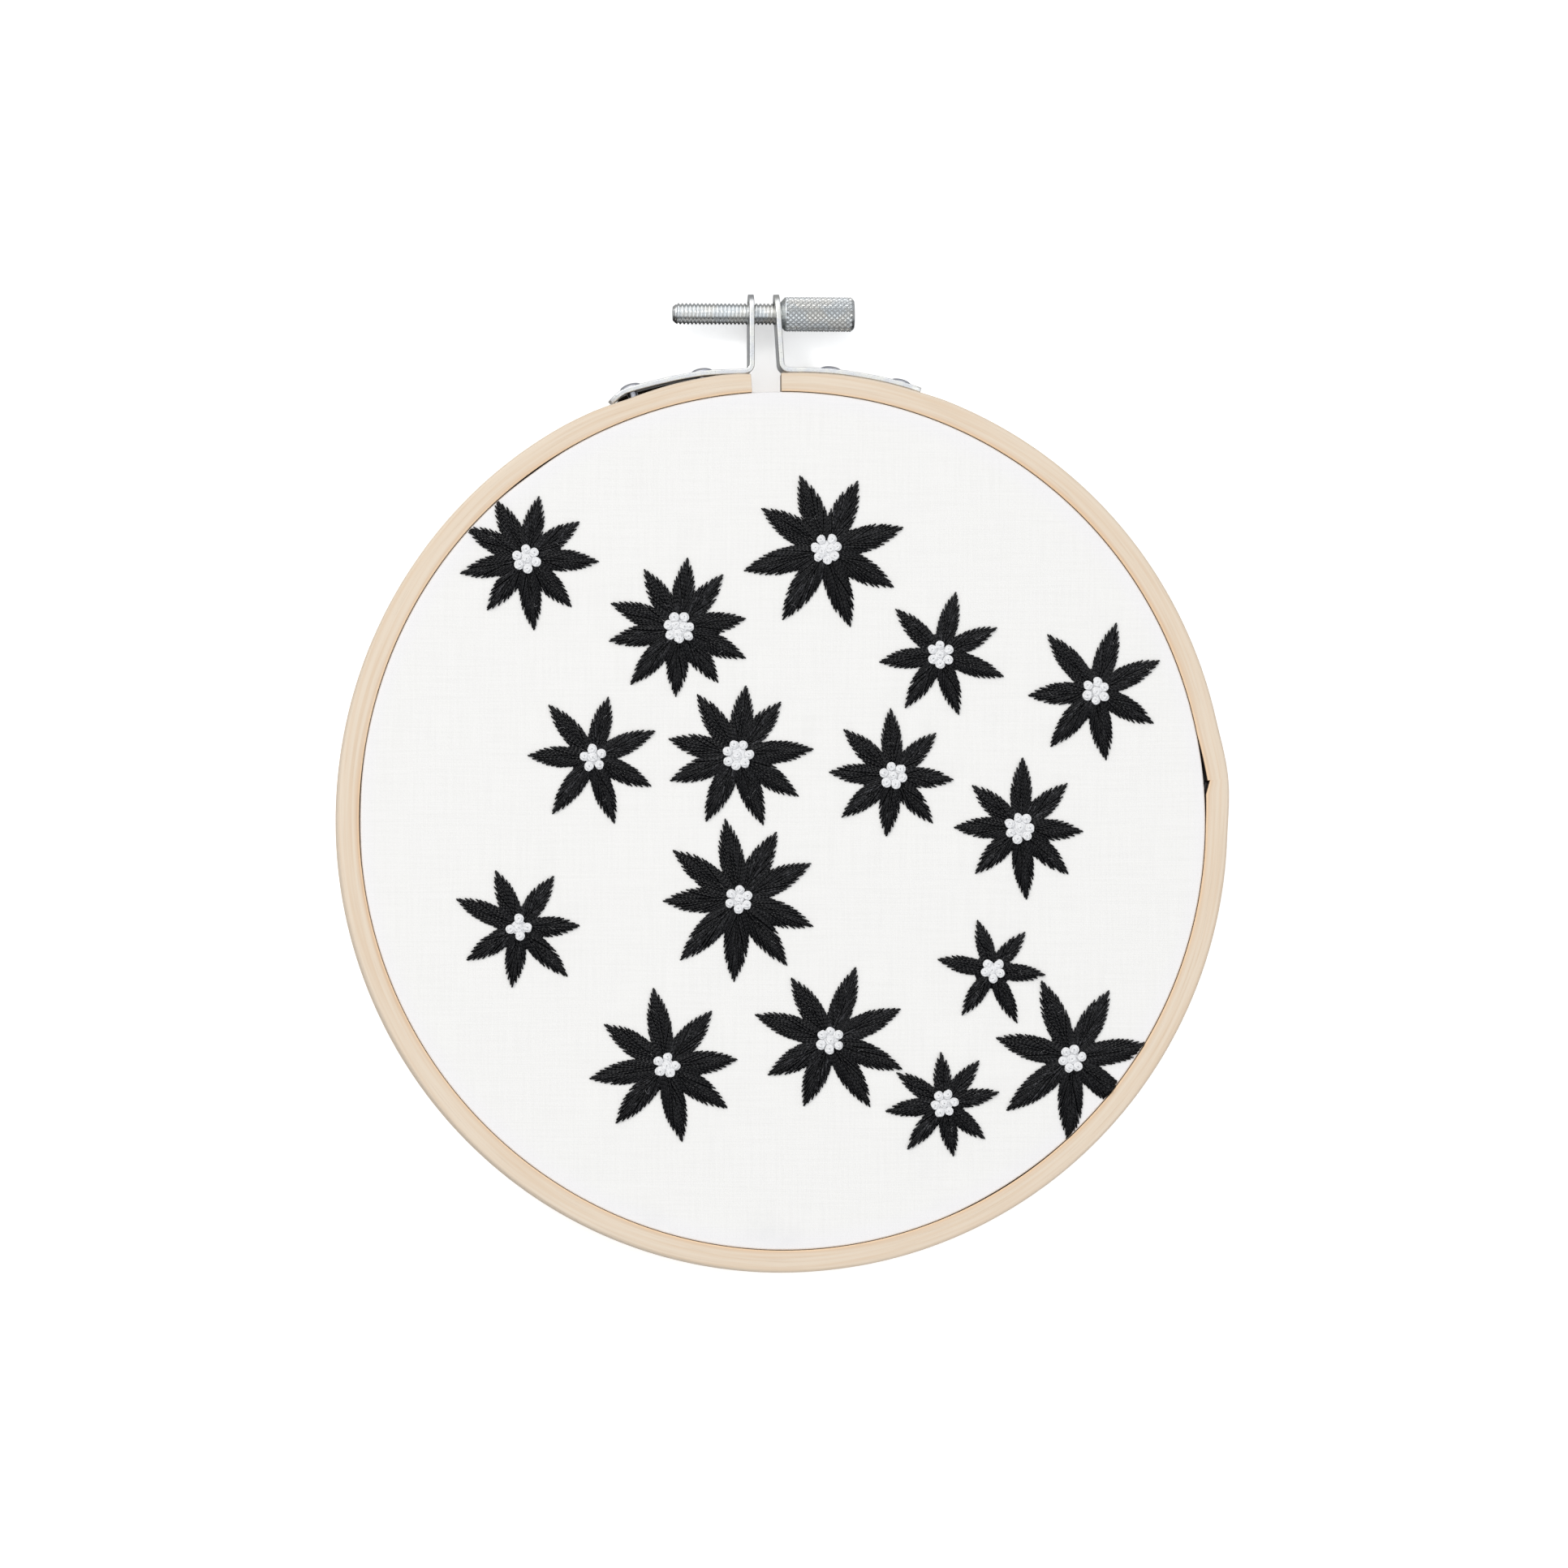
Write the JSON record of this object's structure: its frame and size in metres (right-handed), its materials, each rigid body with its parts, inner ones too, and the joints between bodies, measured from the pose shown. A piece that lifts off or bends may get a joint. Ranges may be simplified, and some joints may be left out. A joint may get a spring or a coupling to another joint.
{
  "type": "hoop embroidery art with wooden embroidery hoop",
  "caption": "White cotton stitched with black star flowers and knotted centres, stretched in a round wooden embroidery hoop that a thumb screw closes at the top.",
  "frame": {"origin": "middle of the whole piece's footprint, on the surface it lies on with its back down", "axes": "+Z out of the stitched face, +Y from the hoop's middle towards the thumb screw, +X to the right seen from the stitched face"},
  "size_m": [0.1596, 0.1751, 0.011],
  "materials": {
    "wood": "bare pale wood, lightly sanded",
    "cloth": "off-white plain-weave cotton",
    "zinc": "bright zinc-plated steel",
    "black_thread": "black stranded thread in satin stitch",
    "white_thread": "off-white thread in French knots"
  },
  "bodies": {
    "hoop": {"outer_ring": "wood", "inner_ring": "wood", "cloth": "cloth", "bracket_left": "zinc", "bracket_right": "zinc", "rivet_left_far": "zinc", "rivet_left_near": "zinc", "rivet_right_near": "zinc", "rivet_right_far": "zinc", "flower_01": "black_thread", "flower_02": "black_thread", "flower_03": "black_thread", "flower_04": "black_thread", "flower_05": "black_thread", "flower_06": "black_thread", "flower_07": "black_thread", "flower_08": "black_thread", "flower_09": "black_thread", "flower_10": "black_thread", "flower_11": "black_thread", "flower_12": "black_thread", "flower_13": "black_thread", "flower_14": "black_thread", "flower_15": "black_thread", "flower_16": "black_thread", "knots_01": "white_thread", "knots_02": "white_thread", "knots_03": "white_thread", "knots_04": "white_thread", "knots_05": "white_thread", "knots_06": "white_thread", "knots_07": "white_thread", "knots_08": "white_thread", "knots_09": "white_thread", "knots_10": "white_thread", "knots_11": "white_thread", "knots_12": "white_thread", "knots_13": "white_thread", "knots_14": "white_thread", "knots_15": "white_thread", "knots_16": "white_thread"},
    "screw": {"screw": "zinc"}
  },
  "joints": [
    {"name": "screw_turn", "type": "hinge", "parent": "hoop", "child": "screw", "pos_m": [-0.00013, 0.08405, 0.0045], "axis": [1, 0, 0], "continuous": true}
  ]
}
